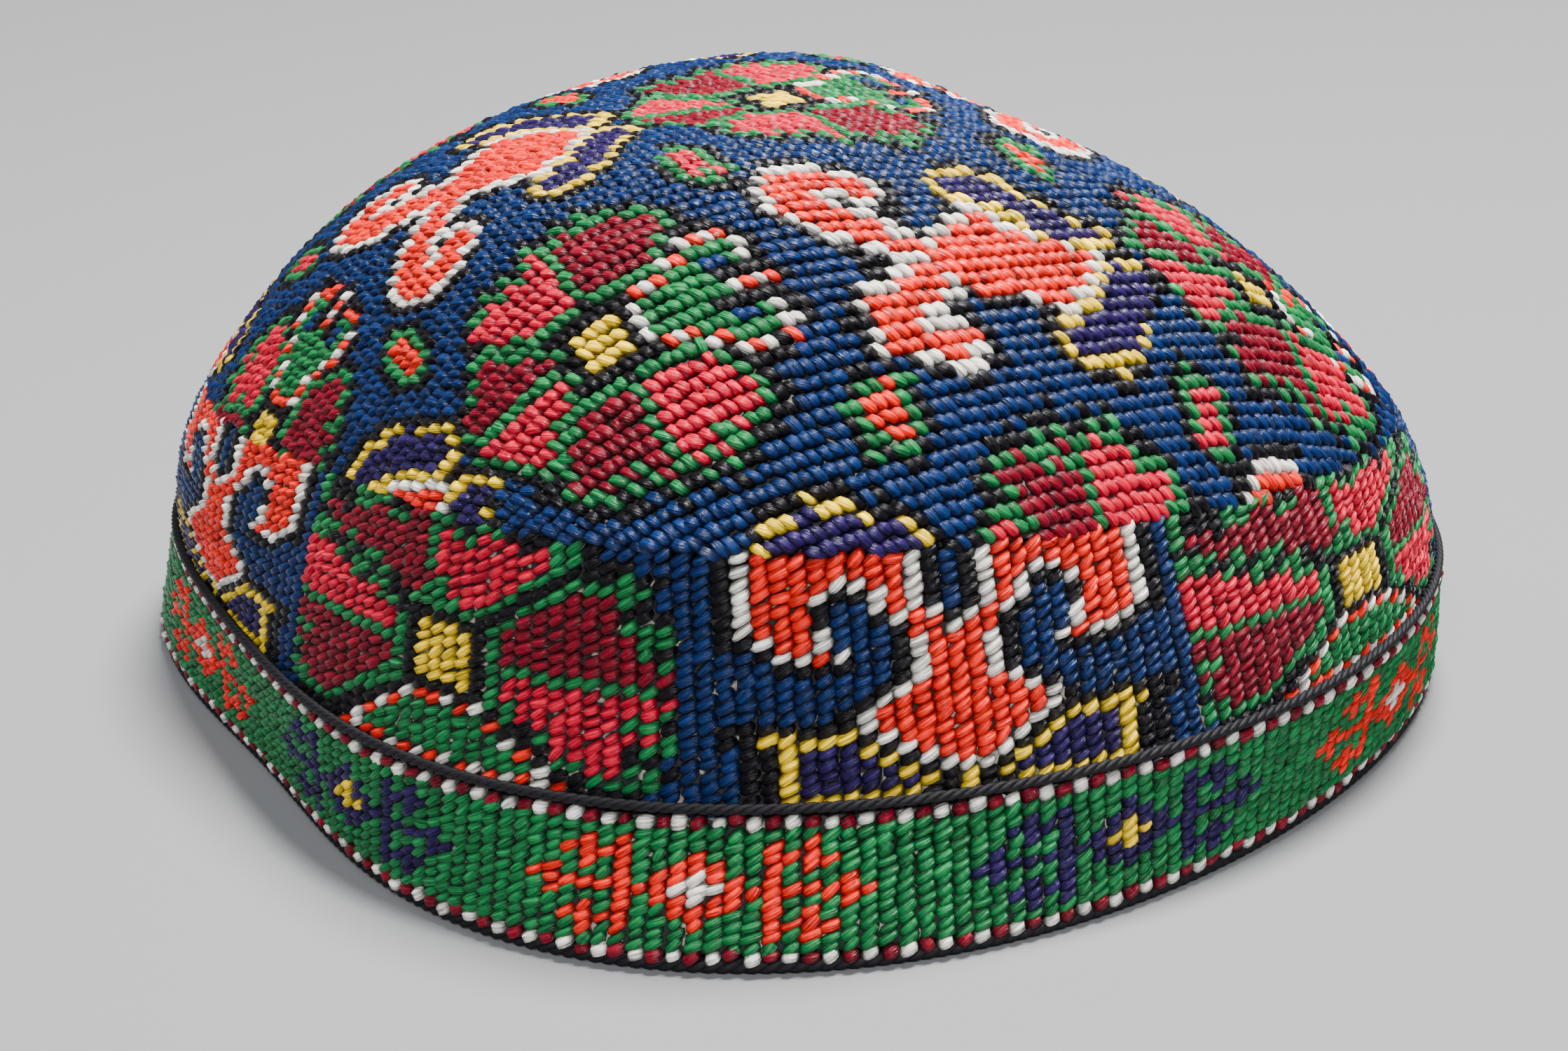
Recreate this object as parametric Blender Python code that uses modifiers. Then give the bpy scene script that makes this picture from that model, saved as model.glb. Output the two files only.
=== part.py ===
# Tubeteika skullcap: a soft, hollow, domed cap of embroidered cloth on a narrow stitched band.
# Metres, +Z up. The origin is on the floor, under the middle of the cap, and -Y is the front.

from collections import namedtuple
from math import cos, sin, pi, asin

import bpy
import bmesh
from mathutils import Vector

# Driving sizes. The radii are mean radii of the outer faces.
RIM_RADIUS = 0.0885
BAND_HEIGHT = 0.0184
BAND_LEAN = 0.0016
WALL_HEIGHT = 0.0269
WALL_LEAN = 0.0088
WALL_BULGE = 0.0021
CROWN_HEIGHT = 0.0383
CROWN_SWELL = 0.0027

# Walls and cords
BAND_THICKNESS = 0.0022
WALL_THICKNESS = 0.0020
CROWN_THICKNESS = 0.0020
WALL_INSET = 0.0012
CROWN_TURNDOWN = 0.0012
HEM = 0.0010
SEAM_BRAID_DIAMETER = 0.0016
RIM_CORD_DIAMETER = 0.0024
RIM_CORD_FLATTENED = 0.0004
CLEARANCE = 0.0003

# Fineness of the facets
STEPS_ROUND = 64
BAND_ROWS = 2
WALL_ROWS = 4
RIM_CORD_SIDES = 10

# How far the crown's rings lie from its top, as shares of the way to its seam
CROWN_RINGS = (0.10, 0.26, 0.42, 0.56, 0.69, 0.80, 0.88, 0.94, 1.0)
# The crown is flat on top and falls ever more steeply, by this power of the way to the seam
CROWN_FULLNESS = 2.95
# Where the crown's top lies, as shares of the seam's radius
CROWN_TOP_X = 0.046
CROWN_TOP_Y = -0.093

# Plan of the cap at three heights. Shifts and waves are shares of the section's own radius:
# oval waves go twice round, corner waves three times and square waves four times.
Section = namedtuple("Section", "shift_x shift_y oval_x oval_xy corner_x corner_y square_x square_xy")
RIM_PLAN = Section(0.0, 0.0, 0.007, -0.065, 0.041, 0.084, -0.009, -0.007)
BAND_TOP_PLAN = Section(0.010, 0.004, 0.016, -0.068, 0.039, 0.046, -0.012, -0.006)
SEAM_PLAN = Section(0.0, 0.0, -0.019, -0.087, 0.029, -0.003, 0.034, -0.022)

# Waves once and twice round: of the seam's height and of the wall's bulge as shares of those
# sizes, and of the crown's swell as shares of CROWN_SWELL.
Wave = namedtuple("Wave", "mean once_x once_y twice_x twice_xy")
SEAM_HEIGHT_WAVE = Wave(0.0, -0.030, -0.089, -0.102, 0.036)
WALL_BULGE_WAVE = Wave(1.0, 0.0, 0.9, 0.0, 0.0)
CROWN_SWELL_WAVE = Wave(0.0, -1.0, 0.26, -0.32, 0.42)


def start_empty_scene():
    for obj in list(bpy.data.objects):
        bpy.data.objects.remove(obj, do_unlink=True)


def new_collection(name):
    collection = bpy.data.collections.new(name)
    bpy.context.scene.collection.children.link(collection)
    return collection


def cloth_material(name, colour, roughness):
    material = bpy.data.materials.new(name)
    material.use_nodes = True
    shader = material.node_tree.nodes["Principled BSDF"]
    shader.inputs["Base Color"].default_value = (*colour, 1.0)
    shader.inputs["Roughness"].default_value = roughness
    shader.inputs["Metallic"].default_value = 0.0
    return material


# Shapes round the cap: a ring is a list of points, one for each step round

def angles():
    return [2 * pi * step / STEPS_ROUND for step in range(STEPS_ROUND)]


def wave_at(wave, angle):
    once = wave.once_x * cos(angle) + wave.once_y * sin(angle)
    twice = wave.twice_x * cos(2 * angle) + wave.twice_xy * sin(2 * angle)
    return wave.mean + once + twice


def plan_point(plan, radius, angle):
    oval = plan.oval_x * cos(2 * angle) + plan.oval_xy * sin(2 * angle)
    corner = plan.corner_x * cos(3 * angle) + plan.corner_y * sin(3 * angle)
    square = plan.square_x * cos(4 * angle) + plan.square_xy * sin(4 * angle)
    reach = radius * (1 + oval + corner + square)
    x = radius * plan.shift_x + reach * cos(angle)
    y = radius * plan.shift_y + reach * sin(angle)
    return Vector((x, y, 0.0))


def band_point(share, angle):
    """Outer face of the band, from the floor (0) to its top edge (1)."""
    low = plan_point(RIM_PLAN, RIM_RADIUS, angle)
    high = plan_point(BAND_TOP_PLAN, RIM_RADIUS - BAND_LEAN, angle)
    high.z = BAND_HEIGHT
    return low.lerp(high, share)


def seam_point(angle):
    """The crease where the side wall meets the crown."""
    point = plan_point(SEAM_PLAN, RIM_RADIUS - BAND_LEAN - WALL_LEAN, angle)
    point.z = BAND_HEIGHT + WALL_HEIGHT * (1 + wave_at(SEAM_HEIGHT_WAVE, angle))
    return point


def ledge_point(angle):
    """The foot of the side wall, on the ledge that the band's top edge makes."""
    point = plan_point(BAND_TOP_PLAN, RIM_RADIUS - BAND_LEAN - WALL_INSET, angle)
    point.z = BAND_HEIGHT
    return point


def wall_point(share, angle):
    """Outer face of the side wall, from the ledge (0) to the crease (1)."""
    point = ledge_point(angle).lerp(seam_point(angle), share)
    bulge = WALL_BULGE * wave_at(WALL_BULGE_WAVE, angle) * 4 * share * (1 - share)
    return point + bulge * Vector((cos(angle), sin(angle), 0.0))


def wall_point_below(distance, angle):
    """The point of the wall's outer face that lies this far below the crease."""
    slant = (seam_point(angle) - ledge_point(angle)).length
    return wall_point(1 - distance / slant, angle)


def crown_point(share, angle):
    """Outer face of the crown, from its top (0) to the crease (1)."""
    seam_radius = RIM_RADIUS - BAND_LEAN - WALL_LEAN
    top_x = CROWN_TOP_X * seam_radius
    top_y = CROWN_TOP_Y * seam_radius
    top = Vector((top_x, top_y, BAND_HEIGHT + WALL_HEIGHT))
    point = top.lerp(seam_point(angle), share)
    point.z += CROWN_HEIGHT * (1 - share ** CROWN_FULLNESS)
    point.z += CROWN_SWELL * wave_at(CROWN_SWELL_WAVE, angle) * share * sin(pi * share)
    return point


def ring_of(point_at, share):
    return [point_at(share, angle) for angle in angles()]


def pushed_out(ring, distance):
    """The ring moved square to itself in plan, outwards if the distance is positive."""
    moved = []
    for step, point in enumerate(ring):
        along = ring[(step + 1) % len(ring)] - ring[step - 1]
        outward = Vector((along.y, -along.x, 0.0)).normalized()
        moved.append(point + distance * outward)
    return moved


def levelled(ring, height):
    return [Vector((point.x, point.y, height)) for point in ring]


def raised(ring, height):
    return [point + Vector((0.0, 0.0, height)) for point in ring]


# Solids

def lofted_shell(name, rings, thickness, material, collection, top=None):
    """A cloth shell through rings that run from the lowest up, closed at the top by one point."""
    form = bmesh.new()
    rows = [[form.verts.new(point) for point in ring] for ring in rings]
    for lower, upper in zip(rows, rows[1:]):
        for step in range(STEPS_ROUND):
            after = (step + 1) % STEPS_ROUND
            form.faces.new((lower[step], lower[after], upper[after], upper[step]))
    if top is not None:
        peak = form.verts.new(top)
        for step in range(STEPS_ROUND):
            after = (step + 1) % STEPS_ROUND
            form.faces.new((rows[-1][step], rows[-1][after], peak))
    mesh = bpy.data.meshes.new(name)
    form.to_mesh(mesh)
    form.free()
    mesh.materials.append(material)
    mesh.shade_smooth()
    shell = bpy.data.objects.new(name, mesh)
    collection.objects.link(shell)
    solidify = shell.modifiers.new("cloth", 'SOLIDIFY')
    solidify.thickness = thickness
    solidify.offset = -1.0
    solidify.use_even_offset = True
    solidify.use_quality_normals = True
    solidify.use_rim = True
    return shell


def closed_curve(name, points, collection):
    curve = bpy.data.curves.new(name, 'CURVE')
    curve.dimensions = '3D'
    curve.twist_mode = 'Z_UP'
    spline = curve.splines.new('POLY')
    spline.points.add(len(points) - 1)
    for slot, point in zip(spline.points, points):
        slot.co = (*point, 1.0)
    spline.use_cyclic_u = True
    obj = bpy.data.objects.new(name, curve)
    collection.objects.link(obj)
    return obj


def band_foot_height():
    return RIM_CORD_DIAMETER - RIM_CORD_FLATTENED + CLEARANCE


def build_rim_cord(material, collection, guides):
    """A round cord under the band's bottom edge, pressed flat where it rests on the floor."""
    radius = RIM_CORD_DIAMETER / 2
    centre_height = radius - RIM_CORD_FLATTENED
    flat_angle = asin(centre_height / radius)
    outline = []
    for side in range(RIM_CORD_SIDES):
        turn = -flat_angle + (pi + 2 * flat_angle) * side / (RIM_CORD_SIDES - 1)
        outline.append(Vector((radius * cos(turn), radius * sin(turn), 0.0)))
    profile = closed_curve("rim_cord_profile", outline[::-1], guides)
    profile.data.dimensions = '2D'
    profile.hide_render = True
    profile.display_type = 'WIRE'
    edge = levelled(ring_of(band_point, band_foot_height() / BAND_HEIGHT), centre_height)
    cord = closed_curve("rim_cord", pushed_out(edge, -BAND_THICKNESS / 2), collection)
    cord.data.bevel_mode = 'OBJECT'
    cord.data.bevel_object = profile
    cord.data.materials.append(material)
    return cord


def build_green_band(material, collection):
    """The edging band, standing on the rim cord, with a short upright hem at both edges."""
    foot_share = band_foot_height() / BAND_HEIGHT
    foot = ring_of(band_point, foot_share)
    edge = ring_of(band_point, 1.0)
    rings = [foot, raised(foot, HEM)]
    for row in range(1, BAND_ROWS):
        rings.append(ring_of(band_point, foot_share + (1 - foot_share) * row / BAND_ROWS))
    rings += [raised(edge, -HEM), edge]
    return lofted_shell("green_band", rings, BAND_THICKNESS, material, collection)


def build_side_wall(material, collection):
    """The embroidered side, set in from the band's face so that a ledge is left for the braid."""
    foot = levelled(ring_of(wall_point, 0.0), BAND_HEIGHT + CLEARANCE)
    rings = [foot, raised(foot, HEM)]
    rings += [ring_of(wall_point, row / WALL_ROWS) for row in range(1, WALL_ROWS)]
    edge = CROWN_TURNDOWN + CLEARANCE
    rings += [ring_of(wall_point_below, edge + CROWN_TURNDOWN), ring_of(wall_point_below, edge)]
    return lofted_shell("side_wall", rings, WALL_THICKNESS, material, collection)


def build_seam_braid(material, collection):
    """The cord that lies on the ledge where the side wall is sewn to the band."""
    radius = SEAM_BRAID_DIAMETER / 2
    wall_face = levelled(ring_of(wall_point, 0.0), BAND_HEIGHT + CLEARANCE + radius)
    braid = closed_curve("seam_braid", pushed_out(wall_face, CLEARANCE + radius), collection)
    braid.data.bevel_depth = radius
    braid.data.bevel_resolution = 2
    braid.data.materials.append(material)
    return braid


def build_crown(material, collection):
    """The dome, whose edge is turned down onto the side wall."""
    rings = [ring_of(wall_point_below, CROWN_TURNDOWN)]
    rings += [ring_of(crown_point, share) for share in reversed(CROWN_RINGS)]
    top = crown_point(0.0, 0.0)
    return lofted_shell("crown", rings, CROWN_THICKNESS, material, collection, top)


def centre_in_plan(parts):
    """Puts the middle of the whole cap's plan over the origin."""
    bpy.context.view_layer.update()
    depsgraph = bpy.context.evaluated_depsgraph_get()
    corners = []
    for part in parts:
        evaluated = part.evaluated_get(depsgraph)
        corners.extend(part.matrix_world @ Vector(corner) for corner in evaluated.bound_box)
    for axis in (0, 1):
        reach = [corner[axis] for corner in corners]
        middle = (min(reach) + max(reach)) / 2
        for part in parts:
            part.location[axis] -= middle


start_empty_scene()
cap = new_collection("tubeteika_skullcap")
guides = new_collection("guides")

black_cord = cloth_material("black_cord", (0.012, 0.011, 0.014), 0.75)
green_silk = cloth_material("green_silk", (0.020, 0.155, 0.050), 0.45)
blue_silk = cloth_material("blue_silk", (0.012, 0.040, 0.190), 0.45)
red_silk = cloth_material("red_silk", (0.480, 0.035, 0.040), 0.45)

parts = [
    build_rim_cord(black_cord, cap, guides),
    build_green_band(green_silk, cap),
    build_seam_braid(black_cord, cap),
    build_side_wall(red_silk, cap),
    build_crown(blue_silk, cap),
]
centre_in_plan(parts)
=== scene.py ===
# Tubeteika skullcap, dressed: ground cloth, charted silk half-cross stitches and twisted black cords.
from math import cos, sin, pi, radians

import bpy
import numpy as np
from mathutils import Matrix, Vector


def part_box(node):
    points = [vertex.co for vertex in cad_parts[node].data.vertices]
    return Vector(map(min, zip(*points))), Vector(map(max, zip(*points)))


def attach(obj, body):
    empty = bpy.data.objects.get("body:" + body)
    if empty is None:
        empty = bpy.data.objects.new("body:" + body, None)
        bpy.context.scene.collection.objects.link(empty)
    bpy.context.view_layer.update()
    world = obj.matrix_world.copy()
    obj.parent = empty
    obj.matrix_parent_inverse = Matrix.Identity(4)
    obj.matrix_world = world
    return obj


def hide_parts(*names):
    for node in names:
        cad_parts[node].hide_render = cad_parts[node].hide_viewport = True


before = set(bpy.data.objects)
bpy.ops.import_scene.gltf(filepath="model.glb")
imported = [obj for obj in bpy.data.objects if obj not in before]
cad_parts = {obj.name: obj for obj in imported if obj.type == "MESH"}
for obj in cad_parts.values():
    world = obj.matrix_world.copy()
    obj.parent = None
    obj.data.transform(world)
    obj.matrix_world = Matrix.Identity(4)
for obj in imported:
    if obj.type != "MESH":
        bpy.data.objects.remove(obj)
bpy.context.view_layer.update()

chance = np.random.default_rng(11)

# the cap's form, with the names and values of the CAD, in metres
form = {
    "rimRadius": 0.0885, "bandFoot": 0.0023, "bandHeight": 0.0184, "bandLean": 0.0016, "wallHeight": 0.0269,
    "wallLean": 0.0088, "wallBulge": 0.0021, "crownHeight": 0.0383, "crownSwell": 0.0027,
    "wallInset": 0.0012, "crownFullness": 2.95, "crownTopX": 0.046, "crownTopY": -0.093,
    # shift x, shift y, oval x, oval xy, corner x, corner y, square x, square xy
    "rimPlan": (0.0, 0.0, 0.007, -0.065, 0.041, 0.084, -0.009, -0.007),
    "bandTopPlan": (0.010, 0.004, 0.016, -0.068, 0.039, 0.046, -0.012, -0.006),
    "seamPlan": (0.0, 0.0, -0.019, -0.087, 0.029, -0.003, 0.034, -0.022),
    # mean, once x, once y, twice x, twice xy
    "seamHeightWave": (0.0, -0.030, -0.089, -0.102, 0.036),
    "wallBulgeWave": (1.0, 0.0, 0.9, 0.0, 0.0),
    "crownSwellWave": (0.0, -1.0, 0.26, -0.32, 0.42),
}


def waveAt(wave, turn):
    mean, onceX, onceY, twiceX, twiceXy = wave
    return (mean + onceX * np.cos(turn) + onceY * np.sin(turn)
            + twiceX * np.cos(2 * turn) + twiceXy * np.sin(2 * turn))


def planAt(plan, radius, turn, height):
    shiftX, shiftY, ovalX, ovalXy, cornerX, cornerY, squareX, squareXy = plan
    reach = radius * (1 + ovalX * np.cos(2 * turn) + ovalXy * np.sin(2 * turn)
                      + cornerX * np.cos(3 * turn) + cornerY * np.sin(3 * turn)
                      + squareX * np.cos(4 * turn) + squareXy * np.sin(4 * turn))
    x = radius * shiftX + reach * np.cos(turn)
    y = radius * shiftY + reach * np.sin(turn)
    return np.stack([x, y, height + 0 * x], -1)


def bandAt(share, turn):  # 0 at the floor, 1 at the band's top edge
    low = planAt(form["rimPlan"], form["rimRadius"], turn, 0.0)
    high = planAt(form["bandTopPlan"], form["rimRadius"] - form["bandLean"], turn, form["bandHeight"])
    return low + (high - low) * share[..., None]


def seamAt(turn):
    height = form["bandHeight"] + form["wallHeight"] * (1 + waveAt(form["seamHeightWave"], turn))
    return planAt(form["seamPlan"], form["rimRadius"] - form["bandLean"] - form["wallLean"], turn, height)


def ledgeAt(turn):
    radius = form["rimRadius"] - form["bandLean"] - form["wallInset"]
    return planAt(form["bandTopPlan"], radius, turn, form["bandHeight"])


def wallAt(share, turn):  # 0 at the ledge, 1 at the crease under the crown
    low, high = ledgeAt(turn), seamAt(turn)
    bulge = form["wallBulge"] * waveAt(form["wallBulgeWave"], turn) * 4 * share * (1 - share)
    outward = np.stack([np.cos(turn), np.sin(turn), 0 * turn], -1)
    return low + (high - low) * share[..., None] + outward * bulge[..., None]


def crownAt(share, turn):  # 0 at the top, 1 at the crease, above 1 turned down on the wall
    seamRadius = form["rimRadius"] - form["bandLean"] - form["wallLean"]
    top = np.array([form["crownTopX"] * seamRadius, form["crownTopY"] * seamRadius,
                    form["bandHeight"] + form["wallHeight"]])
    inside = np.minimum(share, 1.0)
    point = top + (seamAt(turn) - top) * inside[..., None]
    point[..., 2] += form["crownHeight"] * (1 - inside ** form["crownFullness"])
    swell = form["crownSwell"] * waveAt(form["crownSwellWave"], turn)
    point[..., 2] += swell * inside * np.sin(pi * inside)
    return np.where((share > 1.0)[..., None], wallAt(2 - np.maximum(share, 1.0), turn), point)


# the CAD is centred over its own box, so the form moves with it
cadTurns = np.arange(64) * 2 * pi / 64
bandEdges = np.concatenate([bandAt(np.full(64, form["bandFoot"] / form["bandHeight"]), cadTurns),
                            bandAt(np.full(64, 1.0), cadTurns)])
bandLow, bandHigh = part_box("green_band")
middle = (np.array(bandLow) + np.array(bandHigh)) / 2
planShift = middle - (bandEdges.min(0) + bandEdges.max(0)) / 2
planShift[2] = 0.0
print("form moved in plan by", np.round(planShift * 1000, 3), "mm")


# camera, floor and light
def lookAlong(rightward, upward, place):
    back = rightward.cross(upward)
    turned = Matrix((rightward, upward, back)).transposed().to_4x4()
    turned.translation = place
    return turned


photoView = {"downward": 0.3671, "distance": 0.5561, "aim": (0.00028, 0.00396, 0.02195),
             "roll": 0.0348, "lens": 91.19}


def placeCamera():
    down = photoView["downward"]
    rightward, upward = Vector((1, 0, 0)), Vector((0, sin(down), cos(down)))
    roll = photoView["roll"]
    right = cos(roll) * rightward - sin(roll) * upward
    up = sin(roll) * rightward + cos(roll) * upward
    back = Vector((0, -cos(down), sin(down)))
    place = Vector(photoView["aim"]) + photoView["distance"] * back
    data = bpy.data.cameras.new("photoCamera")
    data.lens, data.sensor_width, data.sensor_fit = photoView["lens"], 36.0, 'HORIZONTAL'
    data.clip_start, data.clip_end = 0.01, 20.0
    camera = bpy.data.objects.new("photoCamera", data)
    bpy.context.scene.collection.objects.link(camera)
    camera.matrix_world = lookAlong(right, up, place)
    bpy.context.scene.camera = camera


studio = {
    "floorSize": 12.0, "floorColour": (0.232, 0.235, 0.243), "floorRoughness": 0.75,
    "worldColour": (0.80, 0.87, 1.0), "worldStrength": 0.08,
    # place, aim, size, power, colour
    "lamps": [
        ((0.20, 0.14, 1.10), (0.0, 0.0, 0.03), 0.42, 48.0, (1.0, 0.985, 0.96)),
        ((-0.05, -1.10, 0.75), (0.0, 0.0, 0.04), 0.60, 17.0, (0.97, 0.98, 1.0)),
        ((-0.80, 0.60, 0.90), (0.0, 0.0, 0.05), 0.80, 3.5, (0.93, 0.96, 1.0)),
    ],
}


def nodeMaterial(name):
    material = bpy.data.materials.new(name)
    material.use_nodes = True
    tree = material.node_tree
    return material, tree.nodes, tree.links, tree.nodes["Principled BSDF"]


def addNode(nodes, kind, values):
    node = nodes.new(kind)
    for socket, value in values.items():
        node.inputs[socket].default_value = value
    return node


def addMath(nodes, links, operation, first, second):
    node = nodes.new("ShaderNodeMath")
    node.operation = operation
    links.new(first, node.inputs[0])
    links.new(second, node.inputs[1])
    return node.outputs[0]


def addBump(nodes, links, shader, height, strength, distance):
    bump = addNode(nodes, "ShaderNodeBump", {"Strength": strength, "Distance": distance})
    links.new(height, bump.inputs["Height"])
    links.new(bump.outputs[0], shader.inputs["Normal"])


def addMix(nodes, links, shader, factor, colourA, colourB):
    mix = nodes.new("ShaderNodeMix")
    mix.data_type = 'RGBA'
    mix.inputs["A"].default_value = (*colourA, 1)
    mix.inputs["B"].default_value = (*colourB, 1)
    links.new(factor, mix.inputs["Factor"])
    links.new(mix.outputs["Result"], shader.inputs["Base Color"])


def placeStudio():
    bpy.ops.object.select_all(action='DESELECT')
    bpy.ops.mesh.primitive_plane_add(size=studio["floorSize"], location=(0, 0, 0))
    floor = bpy.context.object
    floor.name = "paleFloor"
    material, nodes, links, shader = nodeMaterial("paleFloor")
    shader.inputs["Base Color"].default_value = (*studio["floorColour"], 1)
    shader.inputs["Roughness"].default_value = studio["floorRoughness"]
    floor.data.materials.append(material)
    world = bpy.data.worlds.new("softWorld")
    bpy.context.scene.world = world
    world.use_nodes = True
    sky = world.node_tree.nodes["Background"]
    sky.inputs["Color"].default_value = (*studio["worldColour"], 1)
    sky.inputs["Strength"].default_value = studio["worldStrength"]
    for number, (place, aim, size, power, colour) in enumerate(studio["lamps"]):
        data = bpy.data.lights.new("lamp%d" % number, 'AREA')
        data.shape, data.size, data.energy, data.color = 'DISK', size, power, colour
        lamp = bpy.data.objects.new(data.name, data)
        bpy.context.scene.collection.objects.link(lamp)
        lamp.location = place
        lamp.rotation_euler = (Vector(aim) - Vector(place)).to_track_quat('-Z', 'Y').to_euler()


placeCamera()
placeStudio()
print("camera and studio placed")

# silk threads: letter on the charts, name and colour
silks = {
    "b": ("blueSilk", (0.002, 0.019, 0.096)),
    "k": ("blackSilk", (0.003, 0.002, 0.004)),
    "g": ("greenSilk", (0.006, 0.175, 0.045)),
    "o": ("orangeSilk", (0.960, 0.008, 0.000)),
    "c": ("crimsonSilk", (0.660, 0.000, 0.032)),
    "m": ("maroonSilk", (0.200, 0.000, 0.013)),
    "y": ("yellowSilk", (1.000, 0.660, 0.000)),
    "w": ("whiteSilk", (0.900, 0.870, 0.780)),
    "n": ("navySilk", (0.016, 0.006, 0.070)),
}
# fibres run along a stitch, and dark and light are how far they go from the thread's colour; the light end
# is partly painted sheen
silkFinish = {"roughness": 0.31, "specular": 0.24, "sheen": 0.02, "sheenRoughness": 0.35,
              "fibresAcross": 18.0, "fibresAlong": 1.1, "detail": 3.0, "grain": 0.6,
              "from": 0.30, "to": 0.72, "dark": 0.28, "light": 1.95,
              "bump": 1.0, "bumpDepth": 0.00050}


def silkMaterial(name, colour):
    material, nodes, links, shader = nodeMaterial(name)
    uv = nodes.new("ShaderNodeUVMap")
    uv.uv_map = "thread"
    stretch = addNode(nodes, "ShaderNodeMapping",
                      {"Scale": (silkFinish["fibresAcross"], silkFinish["fibresAlong"], 1)})
    fibre = addNode(nodes, "ShaderNodeTexNoise",
                    {"Scale": 1.0, "Detail": silkFinish["detail"], "Roughness": silkFinish["grain"]})
    links.new(uv.outputs[0], stretch.inputs[0])
    links.new(stretch.outputs[0], fibre.inputs["Vector"])
    # fibre streaks with painted sheen: the noise lightens the colour to nearly twice the thread's own
    shade = addNode(nodes, "ShaderNodeMapRange",
                    {"From Min": silkFinish["from"], "From Max": silkFinish["to"],
                     "To Min": silkFinish["dark"], "To Max": silkFinish["light"]})
    links.new(fibre.outputs["Fac"], shade.inputs["Value"])
    # this attribute brings each stitch's random tone and its painted shade into the colour
    toneAndShade = nodes.new("ShaderNodeAttribute")
    toneAndShade.attribute_name = "toneAndShade"
    tint = nodes.new("ShaderNodeVectorMath")
    tint.operation = 'SCALE'
    tint.inputs[0].default_value = colour
    links.new(addMath(nodes, links, 'MULTIPLY', shade.outputs[0], toneAndShade.outputs["Fac"]), tint.inputs["Scale"])
    links.new(tint.outputs[0], shader.inputs["Base Color"])
    addBump(nodes, links, shader, fibre.outputs["Fac"], silkFinish["bump"], silkFinish["bumpDepth"])
    shader.inputs["Roughness"].default_value = silkFinish["roughness"]
    shader.inputs["Specular IOR Level"].default_value = silkFinish["specular"]
    shader.inputs["Sheen Weight"].default_value = silkFinish["sheen"]
    shader.inputs["Sheen Roughness"].default_value = silkFinish["sheenRoughness"]
    return material


silkOf = {letter: silkMaterial(name, colour) for letter, (name, colour) in silks.items()}

# charts as read, rows from the top; halves start at the motif's middle column and are mirrored
# b blue, k black, g green, o orange, c crimson, m maroon, y yellow, w white, n navy
charts = {
    "wallHornHalf": (
        "bkwoooooooowkb", "bkwoooooooowkb", "bkwoowwoooowkb", "bkwowkkwooowkb", "bkwowbbkooowkb",
        "kwowkbbkooowkb", "wookbbbwooowkb", "oowkbbbwoowkkb", "oowkbbwowwkbbb", "oowkbbkkkkbbbb",
        "oowkbbbbbbbbbb", "ooowkbbbbbbbbb", "oooowkbbbbbbbb", "ooooowkbbbbbbb", "ooooowkkkkkkkb",
        "oooowkyyyyykkb", "ooowkynnnykkbb", "oowkynnnnykkbb", "wwkynnnnnykkbb", "ykynnnnnnykkbb",
        "ykkyyyyyyykkbb", "kkkkkkkkkkkkbb"),
    "wallRosette": (
        "gkkkggggkkmmggkkggkkkggkbbbb", "gkkkggmmggmmgcggccckcggkkkbb", "gmmkmmmmmmmmgccccccccgkkkgkk",
        "kkmmmmmmmmmmgcccccccgkgggggb", "gggmgmmmmmmmgccccccgkgmmmgkb", "ggkkgkggmmmmmgccccgkgmmmmkkk",
        "cccgkggkgkmmggcccgkgmmmmmggg", "cccccgkggkkggggggkgmmmmmmmgg", "ccccccccggkkkkkkkgmmmmmmmmgk",
        "ccccccccccgkyyyykgmmmmmmmmmg", "ccccccccccgkyyyykgmmmmmmmmmm", "gggggggggggkyyyykggggggggggk",
        "mmmmmmmmmmgkyyyykgcccccccccc", "mmmmmmmmmmgkyyyykgcccccccccg", "ggmmmmmmmggkkkkkkggccccccggk",
        "mmmmmmmmggkwoowowkgccccccccg", "gmmmmmmggkoggggggokkgcccckgg", "kmmmmmgkkwggggggggwkkcccckkb",
        "ggmmmgkkoggggggggggokggccggk", "gggggkkwggggggggggggwkkggggb", "bkkkkkowoowowowowowowokkkkbb",
        "kkkkkkkkkkkkkkkkkkkkkkkkkkkk"),
    "bandHalf": (
        "gggggggggg", "ggggogoggg", "ogggoooogg", "ooggogoggg", "woogogggog", "wwoooooooo",
        "woogogggog", "ooggogoggg", "ogggoooogg", "ggggogoggg", "gggggggggg"),
    # the crown's charts hold only what is filled: blue and outlines are sewn round it afterwards
    # p and q are crimson and maroon, changed over from side to side, G and Y are green and yellow
    # without the outline of petals, t is the white and orange tail
    "crownRosetteHalf": (
        "............", ".p..........", ".pp.........", ".ppp........", ".pppp.......", ".pppp.......",
        ".ppp...q....", ".pp..qqq....", ".pp..qqqq...", ".p..qqqq....", "....qqqqq...", "....qqqq....",
        "YY..qqqqq...", "YY..qqqqqq..", "YY..........", "YY..ppppp...", "....pppppp..", "....ppppp...",
        "GG..pppppp..", "GG..pppp....", "GG..ppppp...", "GGG..ppp....", "GGG...pp....", "GGGG........",
        "GkbG........", "tkbG........", "tkGG........", "tk..........", "tk.........."),
    "crownHornHalf": (
        "............", "............", "............", ".....ooo....", "....ooooo...", "...oooooo...",
        "...ooo.oo...", "..ooo..oo...", "..oo...oo...", ".ooo..oo....", ".oo...oo....", "ooo.........",
        "oo..........", "oo..........", "ooo.........", "ooo.........", "oooo........", "oooo........",
        "ooooo..nn...", "ooooo..nn...", "oooo..nnn...", "oooo..nnn...", "ooo..nnn....", "oo..nnnn....",
        "o..nnnn.....", "..nnnn......", "..nnn.......", "..nn........", "............"),
}


def mirrored(half):
    return half[:0:-1] + half


def wallLetter(row, column):
    place = (column + 13) % 56
    row = min(max(row, 0), 21)
    if place < 27:
        return mirrored(charts["wallHornHalf"][row])[place]
    return (charts["wallRosette"][row] + "b")[place - 27]


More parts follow.
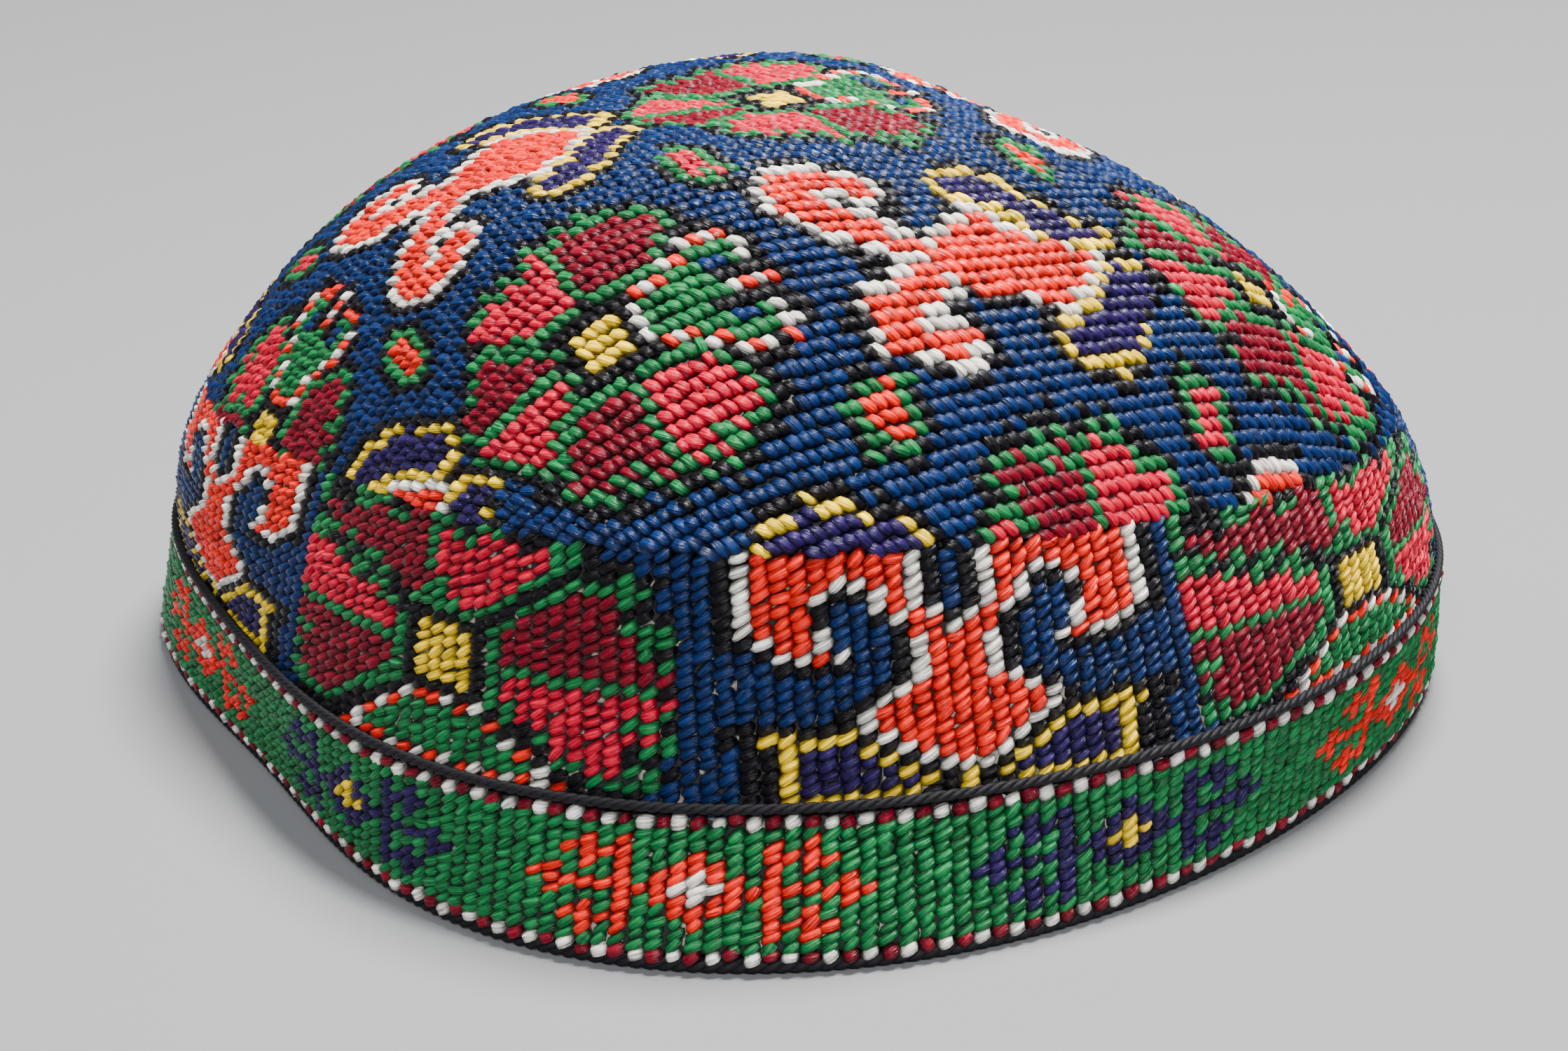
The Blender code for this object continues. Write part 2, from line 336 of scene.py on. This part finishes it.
def bandLetter(row, column):
    if row in (0, 12):
        return "w" if column % 2 else "m"
    motif = round(column / 24)
    across = abs(column - 24 * motif)
    letter = charts["bandHalf"][row - 1][across] if across < 10 else "g"
    return {"o": "n", "w": "y"}.get(letter, letter) if motif % 2 else letter


# one plump stitch, modelled once: poles at the two holes, bent over the rope, flat underneath
stitchForm = {"segments": 5, "rings": 6, "endPower": 3.0, "plumpness": 0.55, "underside": 0.55,
              "endDrop": 0.70, "winding": 1.1,
              # painted shade: darker where it goes down between its neighbours, lighter on its top
              "shadeFrom": 0.05, "shadeOver": 0.90, "shadePower": 1.2, "darkest": 0.10, "lighter": 1.05}


def modelStitch():
    bpy.ops.object.select_all(action='DESELECT')
    bpy.ops.mesh.primitive_uv_sphere_add(segments=stitchForm["segments"], ring_count=stitchForm["rings"],
                                         radius=1.0, calc_uvs=True)
    lobe = bpy.context.object
    bpy.ops.object.mode_set(mode='EDIT')
    bpy.ops.mesh.select_all(action='SELECT')
    bpy.ops.transform.rotate(value=radians(90), orient_axis='Y', center_override=(0, 0, 0))
    bpy.ops.object.mode_set(mode='OBJECT')
    mesh = lobe.data
    corners = np.empty(len(mesh.vertices) * 3)
    mesh.vertices.foreach_get("co", corners)
    corners = corners.reshape(-1, 3)
    along = np.clip(corners[:, 0], -1, 1)
    around = np.hypot(corners[:, 1], corners[:, 2]) + 1e-9
    towardEnd = np.abs(along) ** stitchForm["endPower"]
    fat = (1 - towardEnd) ** stitchForm["plumpness"]
    corners[:, 1] *= fat / around
    corners[:, 2] *= fat / around
    corners[:, 2] = np.where(corners[:, 2] < 0, corners[:, 2] * stitchForm["underside"], corners[:, 2])
    corners[:, 2] -= stitchForm["endDrop"] * towardEnd
    corners[:, 1] += stitchForm["winding"] * (np.arcsin(along) - along)  # a stitch winds round its rope
    loops = np.empty(len(mesh.loops), dtype=np.int32)
    mesh.loops.foreach_get("vertex_index", loops)
    sizes = np.array([len(face.vertices) for face in mesh.polygons], dtype=np.int32)
    uv = np.empty(len(mesh.loops) * 2)
    mesh.uv_layers[0].data.foreach_get("uv", uv)
    bpy.data.objects.remove(lobe, do_unlink=True)
    print("stitch reaches from", np.round(corners.min(0), 2), "to", np.round(corners.max(0), 2))
    # painted shade and light: corners are darkened the lower they lie on the stitch, and the top is
    # lightened past the thread's colour
    height = (corners[:, 2] - stitchForm["shadeFrom"]) / stitchForm["shadeOver"]
    lit = np.clip(height, 0, 1) ** stitchForm["shadePower"]
    return corners, loops, sizes, uv.reshape(-1, 2), stitchForm["darkest"] + stitchForm["lighter"] * lit


stitchShape = modelStitch()


def meshFromArrays(name, points, loops, sizes):
    mesh = bpy.data.meshes.new(name)
    mesh.vertices.add(len(points))
    mesh.vertices.foreach_set("co", points.ravel())
    mesh.loops.add(len(loops))
    mesh.loops.foreach_set("vertex_index", loops)
    mesh.polygons.add(len(sizes))
    starts = np.concatenate([[0], np.cumsum(sizes)[:-1]]).astype(np.int32)
    mesh.polygons.foreach_set("loop_start", starts)
    mesh.update(calc_edges=True)
    return mesh


# how far hand stitches stray from even ones: shares, radians, metres, rows of a rope
unevenness = {"size": 0.10, "lean": radians(8), "toneAndShade": 0.13, "darkest": 0.65, "lightest": 1.4,
              "place": 0.00011, "rope": 0.13}


# copies the stitch to every place and joins the copies in one piece
def sewPiece(name, letter, centre, across, upward, outward, sizes):
    shape, loops, faceSizes, uv, lit = stitchShape
    count = len(centre)
    length, width, height, slant = sizes
    spread = chance.normal(1.0, unevenness["size"], (count, 3))
    lean = slant + chance.normal(0, unevenness["lean"], count)
    alongAxis = across * np.cos(lean)[:, None] + upward * np.sin(lean)[:, None]
    acrossAxis = -across * np.sin(lean)[:, None] + upward * np.cos(lean)[:, None]
    points = (centre[:, None]
              + alongAxis[:, None] * (shape[None, :, 0:1] * (length * spread[:, 0])[:, None, None])
              + acrossAxis[:, None] * (shape[None, :, 1:2] * (width * spread[:, 1])[:, None, None])
              + outward[:, None] * (shape[None, :, 2:3] * (height * spread[:, 2])[:, None, None]))
    allLoops = (loops[None] + (np.arange(count) * len(shape))[:, None]).ravel().astype(np.int32)
    mesh = meshFromArrays(name, points.reshape(-1, 3), allLoops, np.tile(faceSizes, count))
    layer = mesh.uv_layers.new(name="thread")
    moved = uv[None] + chance.uniform(0, 40, (count, 1, 2))
    layer.data.foreach_set("uv", moved.ravel())
    # this attribute holds each stitch's random tone times the painted shade of its corners
    toneAndShade = mesh.attributes.new("toneAndShade", 'FLOAT', 'POINT')
    shade = chance.normal(1.0, unevenness["toneAndShade"], count)
    shade = np.clip(shade, unevenness["darkest"], unevenness["lightest"])
    toneAndShade.data.foreach_set("value", (shade[:, None] * lit[None]).ravel().astype(np.float32))
    mesh.materials.append(silkOf[letter])
    mesh.shade_smooth()
    piece = bpy.data.objects.new(name, mesh)
    bpy.context.scene.collection.objects.link(piece)
    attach(piece, "root")
    return piece


def unit(vector):
    return vector / np.linalg.norm(vector, axis=-1, keepdims=True)


# places every stitch of a zone: pointAt takes rows and columns, with columns to the right,
# and a silk of more than most stitches is parted into pieces
def sewZone(zone, letters, pointAt, rows, columns, sizes, sink, most=3800):
    rows, columns = np.asarray(rows, float), np.asarray(columns, float)
    ropes = np.unique(columns, return_inverse=True)[1]
    rows = rows + chance.normal(0, unevenness["rope"], ropes.max() + 1)[ropes]  # no two ropes run level
    step = 0.30
    centre = pointAt(rows, columns)
    rightward = unit(pointAt(rows, columns + step) - pointAt(rows, columns - step))
    downward = pointAt(rows + step, columns) - pointAt(rows - step, columns)
    outward = unit(np.cross(rightward, -downward))
    upward = np.cross(outward, rightward)
    jitter = chance.normal(0, unevenness["place"], (len(centre), 2))
    centre = centre - outward * sink + rightward * jitter[:, :1] + upward * jitter[:, 1:] + planShift
    letters = np.array(letters)
    total = 0
    for letter in sorted(set(letters)):
        chosen = np.flatnonzero(letters == letter)
        parts = int(np.ceil(len(chosen) / most))
        for part in range(parts):
            some = chosen[part * len(chosen) // parts:(part + 1) * len(chosen) // parts]
            name = zone + silks[letter][0][0].upper() + silks[letter][0][1:]
            name += chr(ord("A") + part) if parts > 1 else ""
            sewPiece(name, letter, centre[some], rightward[some], upward[some], outward[some], sizes)
        total += len(chosen)
    print(zone, "has", total, "stitches")


# the same for a whole band of rows and ropes
def sewRows(zone, letterAt, pointAt, rows, ropes, sizes, sink):
    places = [(row, column) for row in rows for column in range(ropes)]
    sewZone(zone, [letterAt(row, column) for row, column in places], pointAt,
            [row for row, column in places], [column for row, column in places], sizes, sink)


# arc length round a ring, from the +X side
def ringTable(pointAt, share, samples=2880):
    turns = np.linspace(0, 2 * pi, samples + 1)
    ring = pointAt(np.full(samples + 1, share), turns)
    arc = np.concatenate([[0], np.cumsum(np.linalg.norm(np.diff(ring, axis=0), axis=1))])
    return turns, arc


# side wall: 224 ropes, 8 motifs, 22 rows
# sizes of a stitch are its half length, half width, height and slant
wallSewing = {"ropes": 224, "rows": 22, "firstRope": 4.741 * form["rimRadius"],
              "sizes": (0.00173, 0.00081, 0.00102, radians(29)), "sink": 0.00042}
wallTurns, wallArc = ringTable(wallAt, 0.5)


def wallPlace(rows, columns):
    arc = (wallSewing["firstRope"] + columns * wallArc[-1] / wallSewing["ropes"]) % wallArc[-1]
    turn = np.interp(arc, wallArc, wallTurns)
    return wallAt(1 - (rows + 1) / wallSewing["rows"], turn)


sewRows("wall", wallLetter, wallPlace, range(wallSewing["rows"]), wallSewing["ropes"],
        wallSewing["sizes"], wallSewing["sink"])

# green band: 240 ropes, 10 motifs, 11 rows between two rows of white and maroon
bandSewing = {"ropes": 240, "rowHeight": 0.001277, "top": 0.01835, "firstRope": 4.614 * form["rimRadius"],
              "sizes": (0.00172, 0.00083, 0.00102, radians(29)), "sink": 0.00042,
              "edgeSizes": (0.00138, 0.00094, 0.00090, radians(20)), "edgeSink": 0.00036}
bandTurns, bandArc = ringTable(bandAt, 0.5)


def bandPlace(rows, columns):
    arc = (bandSewing["firstRope"] + columns * bandArc[-1] / bandSewing["ropes"]) % bandArc[-1]
    turn = np.interp(arc, bandArc, bandTurns)
    height = bandSewing["top"] - (rows + 0.5) * bandSewing["rowHeight"]
    return bandAt(height / form["bandHeight"], turn)


sewRows("band", bandLetter, bandPlace, range(1, 12), bandSewing["ropes"],
        bandSewing["sizes"], bandSewing["sink"])
sewRows("bandEdge", bandLetter, bandPlace, (0, 12), bandSewing["ropes"],
        bandSewing["edgeSizes"], bandSewing["edgeSink"])

# crown: motifs on a slanting net of cells, 23 ropes by 29 stitches, laid out from the top by arc length
crownSewing = {
    "cellDown": 0.0441, "cellAcross": 0.0531, "turn": 0.3561, "skew": 0.0694,
    "startX": -0.00112, "startY": 0.0060, "rows": 29, "ropes": 23,
    "gridRows": 78, "gridRopes": 70, "reach": 90,  # far enough each way to cover the crown
    "turndown": 0.0005, "squeezed": 0.0004, "past": 0.0003,  # how far stitches go over the crease
    "sizes": (0.00171, 0.00086, 0.00106, radians(35)), "sink": 0.00042,
    "diamond": (1, 2), "miscounted": 0.035, "miscountedOn": 0.018,
    # ropes rise more towards the right
    "bend": 0.26, "bendFrom": 0.012, "bendWidth": 0.006,
    # the front motifs on the right sit nearer the middle
    "pullX": 0.003, "pullY": 0.0078, "pullOver": 0.020, "pullRightOf": -0.002, "pullBlend": 0.020,
    "pullFrom": -0.040, "pullSooner": 0.035, "soonerRightOf": 0.025, "soonerBlend": 0.020,
}
crownTurns = np.linspace(0, 2 * pi, 361)
arcSteps = np.linspace(0, 0.125, 501)


# share of the way to the crease for each direction and each length of arc from the top
def crownShareTable():
    table = np.zeros((361, 501))
    shares = np.linspace(0, 1, 301)
    for number, turn in enumerate(crownTurns):
        meridian = crownAt(shares, np.full(301, turn))
        arc = np.concatenate([[0], np.cumsum(np.linalg.norm(np.diff(meridian, axis=0), axis=1))])
        slant = np.linalg.norm(seamAt(turn) - ledgeAt(turn))
        table[number] = np.where(arcSteps <= arc[-1], np.interp(arcSteps, arc, shares),
                                 1 + (arcSteps - arc[-1]) / slant)
    return table


shareTable = crownShareTable()


def crownFlat(rows, columns):
    down = rows / crownSewing["rows"] * crownSewing["cellDown"]
    across = columns / crownSewing["ropes"] * crownSewing["cellAcross"]
    turn, leaning = crownSewing["turn"], crownSewing["turn"] + crownSewing["skew"]
    x = crownSewing["startX"] + down * cos(turn) - across * sin(leaning)
    y = crownSewing["startY"] + down * sin(turn) + across * cos(leaning)
    width = crownSewing["bendWidth"]
    return x, y + crownSewing["bend"] * width * np.log1p(np.exp((x - crownSewing["bendFrom"]) / width))


# the chart's row and column for a place on the flat cloth
def crownSpot(x, y):
    sooner = np.clip((x - crownSewing["soonerRightOf"]) / crownSewing["soonerBlend"], 0, 1)
    start = crownSewing["pullFrom"] + crownSewing["pullSooner"] * sooner
    rightward = np.clip((x - crownSewing["pullRightOf"]) / crownSewing["pullBlend"], 0, 1)
    nearer = np.clip((start - y) / crownSewing["pullOver"], 0, 1) * rightward
    x = x - crownSewing["pullX"] * nearer - crownSewing["startX"]
    y = y - crownSewing["pullY"] * nearer - crownSewing["startY"]
    turn, leaning = crownSewing["turn"], crownSewing["turn"] + crownSewing["skew"]
    down = (x * cos(leaning) + y * sin(leaning)) / cos(leaning - turn)
    across = (y * cos(turn) - x * sin(turn)) / cos(leaning - turn)
    return (np.rint(down / crownSewing["cellDown"] * crownSewing["rows"]).astype(int),
            np.rint(across / crownSewing["cellAcross"] * crownSewing["ropes"]).astype(int))


def crownShare(rows, columns):
    x, y = crownFlat(rows, columns)
    turn = np.arctan2(y, x) % (2 * pi)
    column = turn / (2 * pi) * 360
    row = np.clip(np.hypot(x, y) / arcSteps[-1] * 500, 0, 499.999)
    column0, row0 = column.astype(int) % 360, row.astype(int)
    columnPart, rowPart = column - column.astype(int), row - row0
    low = shareTable[column0, row0] * (1 - rowPart) + shareTable[column0, row0 + 1] * rowPart
    high = shareTable[column0 + 1, row0] * (1 - rowPart) + shareTable[column0 + 1, row0 + 1] * rowPart
    return low * (1 - columnPart) + high * columnPart, turn


# the share at which the crown's stitches end, just past the crease
def crownEdge(turn, past=0.0):
    slant = np.linalg.norm(seamAt(turn) - ledgeAt(turn), axis=-1)
    return 1 + (crownSewing["turndown"] + past) / slant


def crownPlace(rows, columns):
    share, turn = crownShare(rows, columns)
    return crownAt(np.minimum(share, crownEdge(turn, crownSewing["squeezed"])), turn)


def crownFill(row, column):
    rows, ropes = crownSewing["rows"], crownSewing["ropes"]
    cellRow, cellColumn = (row + rows // 2) // rows, (column + ropes // 2) // ropes
    down, across = row + rows // 2 - rows * cellRow, column - ropes * cellColumn
    if (cellRow + cellColumn) % 2:
        letter = charts["crownHornHalf"][down][abs(across)]
    else:
        letter = charts["crownRosetteHalf"][down][abs(across)]
        if letter in "pq":
            first = (letter == "p") == (across > 0)
            letter = "m" if first == (cellColumn % 2 == 1) else "c"
    # small diamonds between the motifs
    nearRow, nearColumn = round((row - rows / 2) / rows), round((column - ropes / 2) / ropes)
    offRow = abs(row - rows / 2 - rows * nearRow)
    offColumn = abs(column - ropes / 2 - ropes * nearColumn)
    if offRow < crownSewing["diamond"][0] and offColumn < crownSewing["diamond"][1]:
        letter = "O" if (nearRow + nearColumn) % 2 else "C"
    return letter


# fills first, then each fill's outline, then a black line round the outlines
def crownLetters(rows, columns):
    reach = range(-crownSewing["reach"], crownSewing["reach"] + 1)
    fill = {(row, column): crownFill(row, column) for row in reach for column in reach}

    def beside(cloth, row, column, wanted):
        return any(cloth.get(spot) in wanted for spot in
                   ((row - 1, column), (row + 1, column), (row, column - 1), (row, column + 1)))

    sewn = dict(fill)
    for (row, column), letter in fill.items():
        if letter == "t" or letter == "." and beside(fill, row, column, ("G",)):
            sewn[row, column] = "o" if row % 2 else "w"
        elif letter == ".":
            for inner, outer in (("o", "w"), ("n", "y"), ("cmOC", "g"), ("Y", "k")):
                if beside(fill, row, column, tuple(inner)):
                    sewn[row, column] = outer
                    break
    done = dict(sewn)
    for (row, column), letter in sewn.items():
        if letter == ".":
            done[row, column] = "k" if beside(sewn, row, column, tuple("wygo")) else "b"
    letters = []
    for row, column in zip(rows, columns):
        slip = chance.random()
        if slip < crownSewing["miscounted"]:  # a stitch miscounted now and then
            row += 1 if slip < crownSewing["miscountedOn"] else -1
        letters.append(done[row, column].lower())
    return letters


rowGrid, columnGrid = np.meshgrid(np.arange(-crownSewing["gridRows"], crownSewing["gridRows"] + 1),
                                  np.arange(-crownSewing["gridRopes"], crownSewing["gridRopes"] + 1),
                                  indexing="ij")
rowGrid, columnGrid = rowGrid.ravel(), columnGrid.ravel()
reach, around = crownShare(rowGrid.astype(float), columnGrid.astype(float))
kept = reach < crownEdge(around, crownSewing["past"])
rowGrid, columnGrid = rowGrid[kept], columnGrid[kept]
chartRow, chartColumn = crownSpot(*crownFlat(rowGrid, columnGrid))
sewZone("crown", crownLetters(chartRow.tolist(), chartColumn.tolist()),
        crownPlace, rowGrid, columnGrid, crownSewing["sizes"], crownSewing["sink"])

# ground cloth under the stitches, from the CAD's shells: coarse cotton, painted dark on its outside as shade
# between the stitches
cloth = {"shrink": 0.00032, "colour": (0.52, 0.48, 0.40), "paintedShadeColour": (0.010, 0.009, 0.009),
         "roughness": 0.85, "threadsPerMetre": 1500.0, "bump": 0.5, "bumpDepth": 0.0003,
         # bare cotton shows between the stitches here and there
         "specksPerMetre": 420.0, "speckFrom": 0.60, "speckTo": 0.66, "speckCover": 0.45}


def cottonMaterial():
    material, nodes, links, shader = nodeMaterial("cottonGround")
    place = nodes.new("ShaderNodeTexCoord")
    waves = []
    for direction in ('X', 'Y', 'Z'):
        wave = addNode(nodes, "ShaderNodeTexWave",
                       {"Scale": cloth["threadsPerMetre"] / 6.28, "Distortion": 1.2, "Detail": 2.0,
                        "Detail Scale": 3.0})
        wave.bands_direction = direction
        links.new(place.outputs["Object"], wave.inputs["Vector"])
        waves.append(wave.outputs["Fac"])
    weave = addMath(nodes, links, 'MULTIPLY', addMath(nodes, links, 'MAXIMUM', waves[0], waves[1]), waves[2])
    paintedShadeMask = nodes.new("ShaderNodeAttribute")
    paintedShadeMask.attribute_name = "paintedShadeMask"
    speck = addNode(nodes, "ShaderNodeTexNoise", {"Scale": cloth["specksPerMetre"], "Detail": 1.0})
    links.new(place.outputs["Object"], speck.inputs["Vector"])
    cover = addNode(nodes, "ShaderNodeMapRange",
                    {"From Min": cloth["speckFrom"], "From Max": cloth["speckTo"],
                     "To Min": 1.0, "To Max": cloth["speckCover"]})
    links.new(speck.outputs["Fac"], cover.inputs["Value"])
    # painted shade: the cloth's outside is darkened to near black, except at the specks of bare cotton
    paintedShade = addMath(nodes, links, 'MULTIPLY', paintedShadeMask.outputs["Fac"], cover.outputs[0])
    addMix(nodes, links, shader, paintedShade, cloth["colour"], cloth["paintedShadeColour"])
    addBump(nodes, links, shader, weave, cloth["bump"], cloth["bumpDepth"])
    shader.inputs["Roughness"].default_value = cloth["roughness"]
    return material


cotton = cottonMaterial()


def groundCloth(node, name):
    mesh = bpy.data.objects[node].data.copy()
    mesh.name = name
    piece = bpy.data.objects.new(name, mesh)
    bpy.context.scene.collection.objects.link(piece)
    bpy.ops.object.select_all(action='DESELECT')
    piece.select_set(True)
    bpy.context.view_layer.objects.active = piece
    bpy.ops.object.mode_set(mode='EDIT')
    bpy.ops.mesh.select_all(action='SELECT')
    bpy.ops.mesh.remove_doubles(threshold=0.00001)
    bpy.ops.mesh.tris_convert_to_quads(face_threshold=radians(60), shape_threshold=radians(60))
    bpy.ops.object.mode_set(mode='OBJECT')
    smooth = piece.modifiers.new("smooth", 'SUBSURF')
    smooth.levels = smooth.render_levels = 1
    bpy.ops.object.modifier_apply(modifier="smooth")
    shrink = piece.modifiers.new("shrink", 'DISPLACE')
    shrink.mid_level, shrink.strength = 0.0, -cloth["shrink"]
    bpy.ops.object.modifier_apply(modifier="shrink")
    mesh = piece.data
    mesh.materials.clear()
    mesh.materials.append(cotton)
    # mask of painted shade: 1 on the cloth's outward side
    paintedShadeMask = mesh.attributes.new("paintedShadeMask", 'FLOAT', 'POINT')
    centre = Vector((0.0, 0.0, 0.01))
    values = [1.0 if vertex.normal.dot(vertex.co - centre) > 0 else 0.0 for vertex in mesh.vertices]
    paintedShadeMask.data.foreach_set("value", values)
    mesh.shade_smooth()
    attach(piece, "root")
    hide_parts(node)
    return piece


groundCloth("crown", "crownGround")
groundCloth("side_wall", "wallGround")
groundCloth("green_band", "bandGround")
print("ground cloth made")


# twisted black cords: strands wound round each other on a closed line
cordFinish = {"dark": (0.002, 0.002, 0.003), "light": (0.014, 0.013, 0.017), "roughness": 0.6,
              "specular": 0.2, "fluffPerMetre": 2600.0, "detail": 4.0, "bump": 0.6, "bumpDepth": 0.00015}


def cordMaterial():
    material, nodes, links, shader = nodeMaterial("blackCotton")
    place = nodes.new("ShaderNodeTexCoord")
    noise = addNode(nodes, "ShaderNodeTexNoise",
                    {"Scale": cordFinish["fluffPerMetre"], "Detail": cordFinish["detail"]})
    links.new(place.outputs["Object"], noise.inputs["Vector"])
    addMix(nodes, links, shader, noise.outputs["Fac"], cordFinish["dark"], cordFinish["light"])
    addBump(nodes, links, shader, noise.outputs["Fac"], cordFinish["bump"], cordFinish["bumpDepth"])
    shader.inputs["Roughness"].default_value = cordFinish["roughness"]
    shader.inputs["Specular IOR Level"].default_value = cordFinish["specular"]
    return material


blackCotton = cordMaterial()
cords = {
    "seamBraid": {"node": "seam_braid", "strands": 3, "strandRadius": 0.00040, "offset": 0.00034,
                  "turns": 118, "pointsPerTurn": 9, "flat": 1.0, "out": 0.0011,
                  "height": form["bandHeight"] + 0.0011},
    "rimCord": {"node": "rim_cord", "strands": 3, "strandRadius": 0.00062, "offset": 0.00055,
                "turns": 105, "pointsPerTurn": 9, "flat": 0.82, "out": -0.0011, "height": 0.0011},
}


def pushedOut(ring, distance):
    along = np.roll(ring, -1, axis=0) - np.roll(ring, 1, axis=0)
    outward = unit(np.stack([along[:, 1], -along[:, 0], 0 * along[:, 0]], -1))
    return ring + outward * distance


def twistedCord(name, ring):
    values = cords[name]
    line = pushedOut(ring, values["out"]) + planShift
    count = values["turns"] * values["pointsPerTurn"]
    closed = np.vstack([line, line[:1]])
    arc = np.concatenate([[0], np.cumsum(np.linalg.norm(np.diff(closed, axis=0), axis=1))])
    spots = np.arange(count) / count * arc[-1]
    centre = np.stack([np.interp(spots, arc, closed[:, axis]) for axis in range(3)], -1)
    along = unit(np.roll(centre, -1, axis=0) - np.roll(centre, 1, axis=0))
    outward = unit(np.stack([along[:, 1], -along[:, 0], 0 * along[:, 0]], -1))
    strands = []
    bpy.ops.object.select_all(action='DESELECT')
    for strand in range(values["strands"]):
        turn = 2 * pi * (np.arange(count) / values["pointsPerTurn"] + strand / values["strands"])
        points = centre + outward * (values["offset"] * np.cos(turn))[:, None]
        points[:, 2] = values["height"] + values["offset"] * values["flat"] * np.sin(turn)
        curve = bpy.data.curves.new(name + str(strand), 'CURVE')
        curve.dimensions, curve.twist_mode = '3D', 'Z_UP'
        spline = curve.splines.new('POLY')
        spline.points.add(count - 1)
        spline.points.foreach_set("co", np.hstack([points, np.ones((count, 1))]).ravel())
        spline.use_cyclic_u = True
        curve.bevel_depth, curve.bevel_resolution = values["strandRadius"], 1
        piece = bpy.data.objects.new(name + str(strand), curve)
        bpy.context.scene.collection.objects.link(piece)
        piece.select_set(True)
        strands.append(piece)
    bpy.context.view_layer.objects.active = strands[0]
    bpy.ops.object.convert(target='MESH')
    bpy.ops.object.join()
    cord = bpy.context.object
    cord.name = name
    cord.data.materials.clear()
    cord.data.materials.append(blackCotton)
    cord.data.shade_smooth()
    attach(cord, "root")
    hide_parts(values["node"])
    return cord


turns = np.linspace(0, 2 * pi, 720, endpoint=False)
twistedCord("seamBraid", ledgeAt(turns))
twistedCord("rimCord", bandAt(np.full(len(turns), form["bandFoot"] / form["bandHeight"]), turns))
print("cords twisted")
